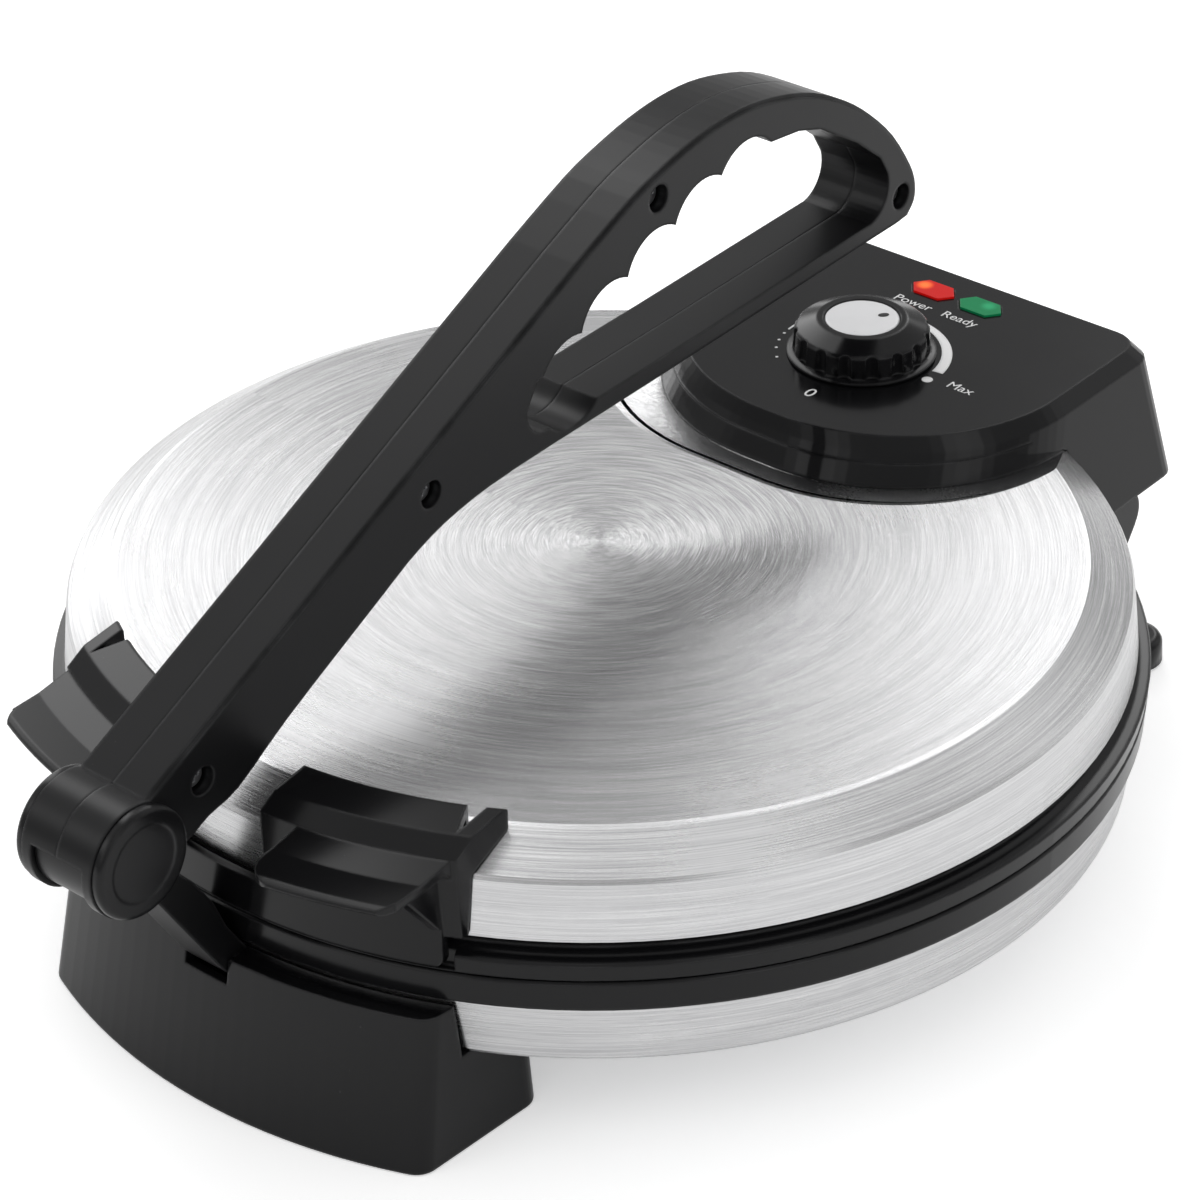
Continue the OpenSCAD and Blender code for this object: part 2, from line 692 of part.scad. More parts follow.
module thermostat_bracket() color(steel) seat() translate([0, knob_back, recess_floor_z]) {
    difference() {
        union() {
            translate([-22, -8, 0]) cube([44, 16, 1]);
            for (x = [-22, 21]) translate([x, -8, 0]) cube([1, 16, 4]);
        }
        translate([0, 0, -1]) cylinder(r = 4, h = 4);
    }
}

module thermostat_body() color("ivory") seat() translate([0, knob_back, recess_floor_z + 1]) {
    difference() {
        union() {
            translate([-15, -12, 0]) cube([30, 24, 6]);
            cylinder(r = 6, h = 8.6);
        }
        translate([0, 0, 2]) cylinder(r = knob_shaft_r + run_fit, h = 8);
    }
    for (x = [-11, 11]) translate([x, 10, 2]) cube([2, 8, 1]);
}

module lens_body(x) {
    translate([x, lens_back, lens_bottom_z]) {
        linear_extrude(lens_flange_t) lens_hole(0.9);
        linear_extrude(4.3) lens_hole(0);
    }
}

module red_lens() color("red") seat() lens_body(lens_red_x);

module green_lens() color("green") seat() lens_body(lens_green_x);

module indicator_lamps() color("orange") seat() for (x = [lens_red_x, lens_green_x])
    translate([x, lens_back, lens_bottom_z - 8]) {
        cylinder(r = 2.5, h = 8);
        cylinder(r = 3.6, h = 2);
    }

module housing_screws() color(steel) seat() both_sides()
    translate([boss_x, boss_y, recess_floor_z - sheet_t]) rotate([180, 0, 0]) screw(3, 1.6, 1.3, 9);

// ---------- knob ----------

knob_z = housing_top_z + 0.4;
knob_top_z = knob_z + 10.6;
knob_shaft_r = 3;
insert_r = 10.6;

module knob() color(black) seat() translate([0, knob_back, 0]) difference() {
    rotate_extrude() polygon([
        [0, knob_z], [knob_r, knob_z], [knob_r, knob_z + 0.7], [knob_r - 1.7, knob_z + 1.2],
        [knob_r - 2.1, knob_z + 7.4], [knob_r - 2.8, knob_z + 8.1], [12.9, knob_top_z],
        [insert_r + 0.2, knob_top_z], [insert_r + 0.2, knob_top_z - 1], [0, knob_top_z - 1]]);
    for (i = [0 : flutes - 1]) rotate([0, 0, i * 360 / flutes]) {
        translate([knob_r - 0.4, 0, knob_z + 1.2]) cylinder(r = 2.5, h = 20, $fn = 48);
    }
    translate([0, 0, knob_z - 1]) cylinder(r = knob_shaft_r + press_fit, h = 8);
    translate([0, 0, knob_z - 1]) difference() {
        cylinder(r = knob_r - 5, h = 7);
        cylinder(r = 6, h = 8);
    }
}

module knob_insert() color(steel) seat() translate([0, knob_back, knob_top_z - 1])
    rotate_extrude() polygon([[0, 0], [insert_r, 0], [insert_r, 0.6], [insert_r - 0.4, 0.9], [0, 0.9]]);

module knob_shaft() color(steel) seat() translate([0, knob_back, recess_floor_z + 3.2])
    cylinder(r = knob_shaft_r, h = knob_z + 6.8 - recess_floor_z - 3.2);

lower_shell();
base_ring();
bottom_cover();
lower_plate();
lower_heater();
lower_reflector();
lower_posts();
front_foot();
hinge_block();
rear_legs();
rubber_feet();
hinge_pin();
cord_gland();
terminal_block();
thermal_fuse();
link_pin();
cover_screws();
link();
arm_right();
arm_left();
barrel_axle();
barrel_cap_right();
barrel_cap_left();
arm_screws();
lid_shell();
lid_ring();
upper_plate();
upper_heater();
upper_reflector();
upper_posts();
front_grip();
control_housing();
hinge_arms();
thermostat_body();
thermostat_bracket();
red_lens();
green_lens();
indicator_lamps();
housing_screws();
knob();
knob_insert();
knob_shaft();
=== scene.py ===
"""Looks of the electric roti maker: finishes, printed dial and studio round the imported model."""

import json
import logging
import math
from dataclasses import dataclass, field
from enum import Enum
from typing import Any, Sequence

import bmesh
import bpy
from mathutils import Matrix, Vector


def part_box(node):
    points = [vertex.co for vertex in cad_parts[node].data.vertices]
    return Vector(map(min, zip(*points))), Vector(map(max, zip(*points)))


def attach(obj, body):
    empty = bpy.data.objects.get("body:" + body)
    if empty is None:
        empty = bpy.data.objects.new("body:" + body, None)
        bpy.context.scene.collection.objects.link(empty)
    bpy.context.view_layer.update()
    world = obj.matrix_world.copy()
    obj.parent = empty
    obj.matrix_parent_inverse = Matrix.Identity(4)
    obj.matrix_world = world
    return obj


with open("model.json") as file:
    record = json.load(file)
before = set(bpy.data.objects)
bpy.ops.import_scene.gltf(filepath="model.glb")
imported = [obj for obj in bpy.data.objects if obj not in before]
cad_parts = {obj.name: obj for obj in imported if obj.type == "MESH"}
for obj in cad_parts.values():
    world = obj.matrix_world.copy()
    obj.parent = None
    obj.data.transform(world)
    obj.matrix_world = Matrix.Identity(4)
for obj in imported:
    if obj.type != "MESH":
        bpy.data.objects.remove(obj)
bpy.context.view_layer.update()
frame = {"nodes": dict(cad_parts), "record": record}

TINY = 1e-5

log = logging.getLogger("roti_maker")
logging.basicConfig(level=logging.INFO, format="%(message)s")

Value = Any
Colour = tuple[float, float, float]


def box_middle(node: str) -> Vector:
    """Middle of the box round a node of the model."""
    low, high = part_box(node)
    return (low + high) / 2


class Kind(Enum):
    """What a shader socket carries."""

    NUMBER = "number"
    VECTOR = "vector"
    COLOUR = "colour"


class Socket:
    """A shader output that takes part in Python arithmetic."""

    def __init__(self, graph: "Graph", output: Any, kind: Kind = Kind.NUMBER) -> None:
        """Keeps the output.

        Args:
            graph: The material that the output belongs to.
            output: The node's output socket.
            kind: What it carries.
        """
        self.graph = graph
        self.output = output
        self.kind = kind

    def _combine(self, operation: str, first: Value, second: Value) -> "Socket":
        """Adds the node for one operation on two values.

        Args:
            operation: Name of the Math or Vector Math operation.
            first: Left value.
            second: Right value.

        Returns:
            The result as a socket.
        """
        kinds = [v.kind for v in (first, second) if isinstance(v, Socket)]
        if Kind.VECTOR not in kinds:
            return self.graph.math(operation, first, second)
        if operation == "MULTIPLY" and not all(
            isinstance(v, Socket) and v.kind is Kind.VECTOR for v in (first, second)
        ):
            vector, scale = (first, second) if self._is_vector(first) else (second, first)
            return self.graph.vector("SCALE", vector, scale=scale)
        return self.graph.vector(operation, first, second)

    @staticmethod
    def _is_vector(value: Value) -> bool:
        """Whether a value is a vector socket."""
        return isinstance(value, Socket) and value.kind is Kind.VECTOR

    def __add__(self, other: Value) -> "Socket":
        """Sum."""
        return self._combine("ADD", self, other)

    def __radd__(self, other: Value) -> "Socket":
        """Sum with the socket on the right."""
        return self._combine("ADD", other, self)

    def __sub__(self, other: Value) -> "Socket":
        """Difference."""
        return self._combine("SUBTRACT", self, other)

    def __rsub__(self, other: Value) -> "Socket":
        """Difference with the socket on the right."""
        return self._combine("SUBTRACT", other, self)

    def __mul__(self, other: Value) -> "Socket":
        """Product."""
        return self._combine("MULTIPLY", self, other)

    def __rmul__(self, other: Value) -> "Socket":
        """Product with the socket on the right."""
        return self._combine("MULTIPLY", other, self)

    def __truediv__(self, other: Value) -> "Socket":
        """Quotient."""
        return self._combine("DIVIDE", self, other)

    def __pow__(self, other: Value) -> "Socket":
        """Power."""
        return self._combine("POWER", self, other)

    def ramp(self, low: float, high: float, to_low: float = 0.0, to_high: float = 1.0) -> "Socket":
        """Maps a stretch of values smoothly onto another.

        Args:
            low: Start of the stretch.
            high: End of the stretch.
            to_low: Result at the start.
            to_high: Result at the end.

        Returns:
            The mapped socket.
        """
        made = self.graph.node(
            "ShaderNodeMapRange",
            {"interpolation_type": "SMOOTHSTEP"},
            {"Value": self, "From Min": low, "From Max": high, "To Min": to_low, "To Max": to_high},
        )
        return Socket(self.graph, made.outputs["Result"])


class Graph:
    """Node tree of one material, or of the room."""

    def __init__(self, name: str, store: Any = None) -> None:
        """Starts with an empty node tree.

        Args:
            name: Name of the material or the room.
            store: Where Blender keeps such blocks, materials if it isn't given.
        """
        self.material = (bpy.data.materials if store is None else store).new(name)
        self.material.use_nodes = True
        self.tree = self.material.node_tree
        self.tree.nodes.clear()

    def node(self, kind: str, settings: dict[str, Any] | None = None,
             inputs: dict[Any, Value] | None = None) -> Any:
        """Adds any node.

        Args:
            kind: Blender's name for the node's type.
            settings: Attributes that are set first.
            inputs: Values or sockets for its inputs, by name or index.

        Returns:
            The new node.
        """
        made = self.tree.nodes.new(kind)
        for key, value in (settings or {}).items():
            setattr(made, key, value)
        for key, value in (inputs or {}).items():
            if isinstance(value, Socket):
                self.tree.links.new(value.output, made.inputs[key])
            else:
                made.inputs[key].default_value = value
        return made

    def math(self, operation: str, first: Value, second: Value = 0.0) -> Socket:
        """Adds a Math node on numbers."""
        made = self.node("ShaderNodeMath", {"operation": operation}, {0: first, 1: second})
        return Socket(self, made.outputs[0])

    def vector(self, operation: str, first: Value, second: Value = (0, 0, 0),
               scale: Value = 1.0) -> Socket:
        """Adds a Vector Math node.

        Args:
            operation: Name of the operation.
            first: Left vector.
            second: Right vector, where the operation has one.
            scale: Factor, where the operation scales.

        Returns:
            The vector, or the number for a dot product or a length.
        """
        inputs = {0: first, "Scale": scale} if operation == "SCALE" else {0: first, 1: second}
        made = self.node("ShaderNodeVectorMath", {"operation": operation}, inputs)
        if operation in ("DOT_PRODUCT", "LENGTH"):
            return Socket(self, made.outputs["Value"])
        return Socket(self, made.outputs["Vector"], Kind.VECTOR)

    def place(self, world: bool = False) -> Socket:
        """Position on the piece in the part's own frame, or direction into the room."""
        made = self.node("ShaderNodeTexCoord")
        return Socket(self, made.outputs["Generated" if world else "Object"], Kind.VECTOR)

    def split(self, vector: Socket) -> list[Socket]:
        """Components of a vector."""
        made = self.node("ShaderNodeSeparateXYZ", None, {0: vector})
        return [Socket(self, out) for out in made.outputs]

    def join(self, x: Value, y: Value, z: Value) -> Socket:
        """Vector from three numbers."""
        made = self.node("ShaderNodeCombineXYZ", None, {0: x, 1: y, 2: z})
        return Socket(self, made.outputs[0], Kind.VECTOR)

    def noise(self, at: Socket, scale: float, detail: float = 2.0, rough: float = 0.5) -> Socket:
        """Adds a noise.

        Args:
            at: Where it is read.
            scale: Its lumps per metre, about.
            detail: How many finer layers it has.
            rough: How strong the finer layers are.

        Returns:
            A value from 0 to 1.
        """
        made = self.node("ShaderNodeTexNoise", None, {
            "Vector": at, "Scale": scale, "Detail": detail, "Roughness": rough})
        return Socket(self, made.outputs[0])

    def mix(self, amount: Value, first: Value, second: Value) -> Socket:
        """Adds a mix of two colours.

        Args:
            amount: Share of the second colour.
            first: Colour at 0.
            second: Colour at 1.

        Returns:
            The colour between them.
        """
        pad = [v if isinstance(v, Socket) else (*v, 1.0) for v in (first, second)]
        made = self.node("ShaderNodeMix", {"data_type": "RGBA"}, {0: amount, 6: pad[0], 7: pad[1]})
        return Socket(self, made.outputs[2], Kind.COLOUR)

    def soft_normal(self, radius: float) -> Socket:
        """Normal that rounds edges by the radius."""
        made = self.node("ShaderNodeBevel", {"samples": 4}, {"Radius": radius})
        return Socket(self, made.outputs[0], Kind.VECTOR)

    def bump(self, height: Socket, distance: float, strength: float, normal: Value = None) -> Socket:
        """Adds a bump.

        Args:
            height: Height from 0 to 1.
            distance: How high 1 stands, in metres.
            strength: How strongly it shows.
            normal: Normal that it is added to, the surface's own if it isn't given.

        Returns:
            Normal that follows the height.
        """
        inputs = {"Height": height, "Distance": distance, "Strength": strength}
        if normal is not None:
            inputs["Normal"] = normal
        made = self.node("ShaderNodeBump", None, inputs)
        return Socket(self, made.outputs[0], Kind.VECTOR)

    def edge_mask(self, soft: Socket, gain: float) -> Socket:
        """How strongly a point lies on an edge, from 0 to 1."""
        flat = Socket(self, self.node("ShaderNodeNewGeometry").outputs["Normal"], Kind.VECTOR)
        return ((1.0 - self.vector("DOT_PRODUCT", soft, flat)) * gain).ramp(0.0, 1.0)

    def finish(self, inputs: dict[str, Value]) -> bpy.types.Material:
        """Ends the tree in one Principled shader.

        Args:
            inputs: Values or sockets for the shader's inputs, by name.

        Returns:
            The finished material.
        """
        shader = self.node("ShaderNodeBsdfPrincipled", None, inputs)
        output = self.node("ShaderNodeOutputMaterial")
        self.tree.links.new(shader.outputs[0], output.inputs[0])
        return self.material


@dataclass(frozen=True)
class BrushedSteel:
    """Stainless sheet brushed in circles round the body's axis."""

    name: str = "brushed_stainless"
    tint: Colour = (0.77, 0.77, 0.775)
    shade: Colour = (0.53, 0.53, 0.54)
    roughness: float = 0.21
    fine_tilt: float = 0.44
    line_tilt: float = 0.13
    lines_per_metre: float = 2600.0
    bands_per_metre: float = 240.0
    grit_per_metre: float = 1.0e5
    smudges_per_metre: float = 16.0
    line_drift: float = 3.0
    band_drift: float = 2.0
    band_share: float = 0.25
    line_roughness: float = 0.08
    smudge_roughness: float = 0.05
    axis_y: float = 0.010

    def build(self) -> bpy.types.Material:
        """Makes the material.

        Returns:
            Steel whose normal is tilted across the brush lines.
        """
        g = Graph(self.name)
        at = g.place() - Vector((0.0, self.axis_y, 0.0))
        x, y, z = g.split(at)
        radius = g.math("SQRT", x * x + y * y) + TINY
        angle = g.math("ARCTAN2", y, x)
        lines = g.noise(g.join(radius * self.lines_per_metre, z * self.lines_per_metre,
                               angle * self.line_drift), 1.0, 2.0, 0.6)
        bands = g.noise(g.join(radius * self.bands_per_metre, z * self.bands_per_metre,
                               angle * self.band_drift), 1.0, 2.0)
        grit = g.node("ShaderNodeTexWhiteNoise", None, {"Vector": at * self.grit_per_metre})
        fine = Socket(g, grit.outputs["Value"])
        tilt = (fine - 0.5) * self.fine_tilt + (lines - 0.5) * self.line_tilt
        around = g.node("ShaderNodeVectorTransform",
                        {"vector_type": "VECTOR", "convert_from": "OBJECT", "convert_to": "WORLD"},
                        {0: g.join(0.0 - y / radius, x / radius, 0.0)})
        normal = Socket(g, g.node("ShaderNodeNewGeometry").outputs["Normal"], Kind.VECTOR)
        across = g.vector("CROSS_PRODUCT", normal, Socket(g, around.outputs[0], Kind.VECTOR))
        tilted = g.vector("NORMALIZE", normal + across * tilt)
        smudge = g.noise(at, self.smudges_per_metre, 3.0).ramp(0.45, 0.75)
        streaks = (lines * (1.0 - self.band_share) + bands * self.band_share).ramp(0.28, 0.72)
        return g.finish({
            "Base Color": g.mix(streaks, self.shade, self.tint),
            "Metallic": 1.0,
            "Roughness": self.roughness + lines * self.line_roughness + smudge * self.smudge_roughness,
            "Normal": tilted,
        })


@dataclass(frozen=True)
class Moulded:
    """Injection moulded plastic, with a fine grain and edges lightened in colour, partly as rubbed wear
    and partly as a painted edge highlight.
    """

    name: str
    colour: Colour
    # Colour at the edges: partly rubbed wear, partly a painted edge highlight.
    edge: Colour
    roughness: float
    grain: float = 900.0
    grain_depth: float = 0.00003
    grain_strength: float = 0.15
    edge_radius: float = 0.0008
    shine: float = 0.27
    edge_gain: float = 2.2
    rub_and_highlight_per_metre: float = 70.0
    rub_and_highlight_share: float = 0.6
    rub_roughness: float = 0.08
    haze_per_metre: float = 22.0
    haze_roughness: float = 0.10
    specks_per_metre: float = 1300.0
    drifts_per_metre: float = 40.0
    dust: Colour = (0.30, 0.30, 0.31)
    dust_share: float = 0.25
    dust_roughness: float = 0.2

    def build(self) -> bpy.types.Material:
        """Makes the material.

        Returns:
            Plastic with grain, soft edges lightened by a painted edge highlight mixed with rubbed wear,
            slight haze and sparse dust.
        """
        g = Graph(self.name)
        at = g.place()
        soft = g.soft_normal(self.edge_radius)
        # Edges lighten towards the edge colour, broken up by noise: partly rubbed wear, partly a painted
        # highlight.
        worn_and_highlit = g.edge_mask(soft, self.edge_gain) * g.noise(at, self.rub_and_highlight_per_metre, 3.0).ramp(0.35, 0.7)
        haze = (g.noise(at, self.haze_per_metre, 4.0, 0.6) - 0.5) * self.haze_roughness
        specks = g.noise(at, self.specks_per_metre, 1.0).ramp(0.80, 0.86)
        dusty = specks * g.noise(at, self.drifts_per_metre, 2.0).ramp(0.5, 0.7)
        base = g.mix(worn_and_highlit * self.rub_and_highlight_share, self.colour, self.edge)
        return g.finish({
            "Base Color": g.mix(dusty * self.dust_share, base, self.dust),
            "Roughness": self.roughness + haze + worn_and_highlit * self.rub_roughness + dusty * self.dust_roughness,
            "Normal": g.bump(g.noise(at, self.grain, 2.0), self.grain_depth, self.grain_strength, soft),
            "Specular IOR Level": self.shine,
        })


@dataclass(frozen=True)
class PlainMetal:
    """Turned, plated or coated metal of a small or inner piece."""

    name: str
    colour: Colour
    shade: Colour
    roughness: float
    metallic: float = 1.0
    grain: float = 400.0
    grain_depth: float = 0.00003
    grain_strength: float = 0.2
    grain_roughness: float = 0.15
    stains_per_metre: float = 35.0
    stain_roughness: float = 0.08
    edge_radius: float = 0.0003

    def build(self) -> bpy.types.Material:
        """Makes the material.

        Returns:
            Metal or coating with turning marks and stains.
        """
        g = Graph(self.name)
        at = g.place()
        marks = g.noise(at, self.grain, 3.0)
        stain = g.noise(at, self.stains_per_metre, 4.0).ramp(0.4, 0.8)
        return g.finish({
            "Base Color": g.mix(stain, self.colour, self.shade),
            "Metallic": self.metallic,
            "Roughness": self.roughness + (marks - 0.5) * self.grain_roughness
            + stain * self.stain_roughness,
            "Normal": g.bump(marks, self.grain_depth, self.grain_strength,
                             g.soft_normal(self.edge_radius)),
        })


@dataclass(frozen=True)
class LampLens:
    """Tinted lens over a lamp, named as its node and brightest at one spot off its middle."""

    name: str
    colour: Colour
    glow: Colour
    spot_off: tuple[float, float]
    strength: float
    spot_fade: tuple[float, float] = (0.0004, 0.0032)
    ribs_per_metre: float = 9000.0
    rib_depth: float = 0.00002
    rib_strength: float = 0.15
    roughness: float = 0.12
    haze_per_metre: float = 300.0
    haze_roughness: float = 0.08
    shine: float = 0.25
    edge_radius: float = 0.0003

    def build(self) -> bpy.types.Material:
        """Makes the material.

        Returns:
            Tinted plastic with fine moulded ribs and a soft glow.
        """
        g = Graph(self.name)
        at = g.place()
        x, y, _ = g.split(at)
        centre = box_middle(self.name).xy + Vector(self.spot_off)
        away = g.math("SQRT", (x - centre.x) ** 2.0 + (y - centre.y) ** 2.0)
        spot = away.ramp(*self.spot_fade, 1.0, 0.0)
        ribs = g.math("SINE", x * self.ribs_per_metre)
        return g.finish({
            "Base Color": g.mix(spot, self.colour, self.glow),
            "Roughness": self.roughness + g.noise(at, self.haze_per_metre) * self.haze_roughness,
            "Specular IOR Level": self.shine,
            "Emission Color": g.mix(spot, self.colour, self.glow),
            "Emission Strength": self.strength,
            "Normal": g.bump(ribs, self.rib_depth, self.rib_strength, g.soft_normal(self.edge_radius)),
        })


BLACK = (0.004, 0.004, 0.0045)
# Lighter edge colour of the satin and barrel black: partly rubbed wear, partly a painted edge highlight.
RUBBED_AND_HIGHLIT = (0.08, 0.08, 0.083)
STEEL = BrushedSteel()
# The third colour of each moulded finish is its edge colour, which is rubbed wear and a painted edge
# highlight together.
GLOSS = Moulded("gloss_black", BLACK, (0.10, 0.10, 0.105), 0.17, 500.0, 0.00002, 0.05, 0.0010)
SATIN = Moulded("satin_black", BLACK, RUBBED_AND_HIGHLIT, 0.33, 1600.0, 0.00003, 0.18, 0.0012)
BARREL = Moulded("barrel_black", BLACK, RUBBED_AND_HIGHLIT, 0.22, 1600.0, 0.00002, 0.06, 0.0012)
RUBBER = Moulded("rubber", (0.02, 0.02, 0.02), (0.05, 0.05, 0.05), 0.75, 900.0)
CERAMIC = Moulded("ceramic", (0.72, 0.68, 0.58), (0.80, 0.78, 0.72), 0.55, 700.0)
PRINT = Moulded("white_print", (0.80, 0.80, 0.80), (0.85, 0.85, 0.85), 0.45, 2500.0)
DARK_PRINT = Moulded("dark_print", (0.015, 0.015, 0.016), (0.03, 0.03, 0.03), 0.40, 2500.0)
COATING = PlainMetal("non_stick_coating", (0.035, 0.035, 0.038), (0.055, 0.053, 0.05), 0.42, 0.1, 900.0)
ZINC = PlainMetal("zinc_plate", (0.55, 0.56, 0.58), (0.42, 0.42, 0.43), 0.30)
SHEATH = PlainMetal("heater_sheath", (0.22, 0.21, 0.20), (0.14, 0.11, 0.09), 0.45)
INSERT = PlainMetal("turned_insert", (0.74, 0.74, 0.75), (0.66, 0.66, 0.67), 0.30, 0.25, 1200.0)
GLASS = PlainMetal("lamp_glass", (0.85, 0.62, 0.45), (0.75, 0.50, 0.35), 0.10, 0.0)
RED = LampLens("red_lens", (0.42, 0.003, 0.002), (0.95, 0.16, 0.03), (-0.0036, 0.0006), 0.45)
GREEN = LampLens("green_lens", (0.002, 0.20, 0.07), (0.02, 0.34, 0.14), (0.0020, 0.0014), 0.06)

FINISH_OF_SLOT = {
    "stainless": STEEL,
    "black_gloss": GLOSS,
    "black_satin": SATIN,
    "plate_coating": COATING,
    "zinc_steel": ZINC,
    "heater_sheath": SHEATH,
    "ceramic": CERAMIC,
    "rubber": RUBBER,
    "red_lens": RED,
    "green_lens": GREEN,
    "lamp_glass": GLASS,
    "silver_insert": INSERT,
}

FINISH_OF_NODE = {"barrel_axle": BARREL, "barrel_cap_right": BARREL, "barrel_cap_left": BARREL}


class Wardrobe:
    """Builds each finish once and puts it on pieces."""

    def __init__(self) -> None:
        """Starts with no finish built."""
        self.made: dict[str, bpy.types.Material] = {}

    def material(self, finish: Any) -> bpy.types.Material:
        """Finds or builds the material of a finish.

        Args:
            finish: One of the finishes above.

        Returns:
            Its material.
        """
        if finish.name not in self.made:
            self.made[finish.name] = finish.build()
        return self.made[finish.name]

    def dress(self, piece: bpy.types.Object, finish: Any) -> None:
        """Gives the whole piece one finish.

        Args:
            piece: The piece to dress.
            finish: The finish that it gets.
        """
        if not piece.material_slots:
            piece.data.materials.append(None)
        for slot in piece.material_slots:
            slot.material = self.material(finish)

    def dress_frame(self) -> None:
        """Gives every node of the model the finish of its slot."""
        for part in frame["record"]["subparts"]:
            finish = FINISH_OF_NODE.get(part["node"], FINISH_OF_SLOT[part["material_slot"]])
            self.dress(frame["nodes"][part["node"]], finish)
            log.info("dressed %s as %s", part["node"], part["material_slot"])


def mesh_piece(name: str, vertices: Sequence[Sequence[float]],
               faces: Sequence[Sequence[int]]) -> bpy.types.Object:
    """Makes an object from vertices and faces.

    Args:
        name: The piece's name.
        vertices: Places in metres.
        faces: Vertex numbers of each face.

    Returns:
        The new object, linked to the scene.
    """
    mesh = bpy.data.meshes.new(name)
    mesh.from_pydata([tuple(v) for v in vertices], [], [tuple(f) for f in faces])
    made = bmesh.new()
    made.from_mesh(mesh)
    bmesh.ops.recalc_face_normals(made, faces=made.faces)
    made.to_mesh(mesh)
    made.free()
    piece = bpy.data.objects.new(name, mesh)
    bpy.context.scene.collection.objects.link(piece)
    return piece


def oval_piece(name: str, centre: Vector, along: Vector, across: Vector,
               low: float, high: float, steps: int) -> bpy.types.Object:
    """Thin oval disc with closed faces.

    Args:
        name: The piece's name.
        centre: Middle of the disc in plan.
        along: One half axis.
        across: The other half axis.
        low: Height of the underside.
        high: Height of the top.
        steps: Corners round its edge.

    Returns:
        The disc.
    """
    turns = [math.tau * k / steps for k in range(steps)]
    rim = [centre + along * math.cos(t) + across * math.sin(t) for t in turns]
    vertices = [(*p, h) for h in (low, high) for p in rim]
    faces = [tuple(range(steps)), tuple(range(steps, 2 * steps))]
    faces += [(k, (k + 1) % steps, (k + 1) % steps + steps, k + steps) for k in range(steps)]
    return mesh_piece(name, vertices, faces)


def plate_from_loops(name: str, outer: Sequence[Vector], inner: Sequence[Vector],
                     low: float, high: float) -> bpy.types.Object:
    """Thin closed band between two rows of plan points.

    Args:
        name: The piece's name.
        outer: Plan points along one side.
        inner: As many plan points along the other side.
        low: Height of the underside.
        high: Height of the top.

    Returns:
        The band.
    """
    n = len(outer)
    rows = [(p, h) for h in (low, high) for side in (outer, inner) for p in side]
    vertices = [(p[0], p[1], h) for p, h in rows]
    faces = []
    for i in range(n - 1):
        a, b, c, d = i, n + i, 2 * n + i, 3 * n + i
        faces += [(a, a + 1, b + 1, b), (c, d, d + 1, c + 1)]
        faces += [(a, c, c + 1, a + 1), (b, b + 1, d + 1, d)]
    faces += [(0, n, 3 * n, 2 * n), (n - 1, 3 * n - 1, 4 * n - 1, 2 * n - 1)]
    return mesh_piece(name, vertices, faces)


@dataclass
class Dial:
    """Printed scale round the knob and the words by the lamps."""

    wardrobe: Wardrobe
    top: float = field(default_factory=lambda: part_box("control_housing")[1].z)
    knob_at: Vector = field(default_factory=lambda: box_middle("knob").xy)
    gap: float = 0.00002
    ink: float = 0.00008
    arc_radius: float = 0.0243
    arc_from: float = 186.0
    arc_to: float = 8.0
    arc_steps: int = 72
    arc_half_width: tuple[float, float] = (0.0003, 0.0017)
    dots: tuple[float, ...] = (226.0, 213.0, 202.0, 192.0)
    dot_radius: float = 0.00045
    end_dot: tuple[float, float] = (356.0, 0.0016)
    words: dict[str, tuple[float, float, float]] = field(default_factory=lambda: {
        "0": (0.0031, 0.0981, 0.0062),
        "Max": (0.0345, 0.1262, 0.0050),
        "Power": (-0.0056, 0.1590, 0.0049),
        "Ready": (0.0108, 0.1590, 0.0049),
    })

    def point(self, angle: float, radius: float) -> Vector:
        """Plan point at an angle and radius round the knob."""
        a = math.radians(angle)
        return Vector((self.knob_at.x + radius * math.cos(a), self.knob_at.y + radius * math.sin(a)))

    def ride(self, piece: bpy.types.Object) -> None:
        """Fixes a printed mark to the lid.

        Args:
            piece: The mark.
        """
        self.wardrobe.dress(piece, PRINT)
        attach(piece, "lid")
        log.info("printed %s", piece.name)

    def build_arc(self) -> None:
        """Prints the band that grows wider towards the hottest mark."""
        thin, wide = self.arc_half_width
        outer, inner = [], []
        for i in range(self.arc_steps + 1):
            share = i / self.arc_steps
            angle = self.arc_from + (self.arc_to - self.arc_from) * share
            half = thin + (wide - thin) * share
            outer.append(self.point(angle, self.arc_radius + half))
            inner.append(self.point(angle, self.arc_radius - half))
        low = self.top + self.gap
        self.ride(plate_from_loops("dial_arc", outer, inner, low, low + self.ink))

    def build_dots(self) -> None:
        """Prints the row of dots before the arc and the dot at its end."""
        low = self.top + self.gap
        sizes = [*[(angle, self.dot_radius) for angle in self.dots], self.end_dot]
        for number, (angle, radius) in enumerate(sizes):
            centre = self.point(angle, self.arc_radius)
            self.ride(oval_piece(f"dial_dot_{number}", centre, Vector((radius, 0.0)),
                                 Vector((0.0, radius)), low, low + self.ink, 24))

    def build_words(self) -> None:
        """Prints the plain words and the zero."""
        for word, (x, y, size) in self.words.items():
            curve = bpy.data.curves.new(f"word_{word}", "FONT")
            curve.body = word
            curve.size = size
            curve.align_x = "CENTER"
            curve.align_y = "CENTER"
            curve.extrude = self.ink / 2
            text = bpy.data.objects.new(f"word_{word}", curve)
            text.location = (x, y, self.top + self.gap + self.ink / 2)
            bpy.context.scene.collection.objects.link(text)
            self.ride(text)

    def build(self) -> None:
        """Prints the whole dial."""
        self.build_arc()
        self.build_dots()
        self.build_words()


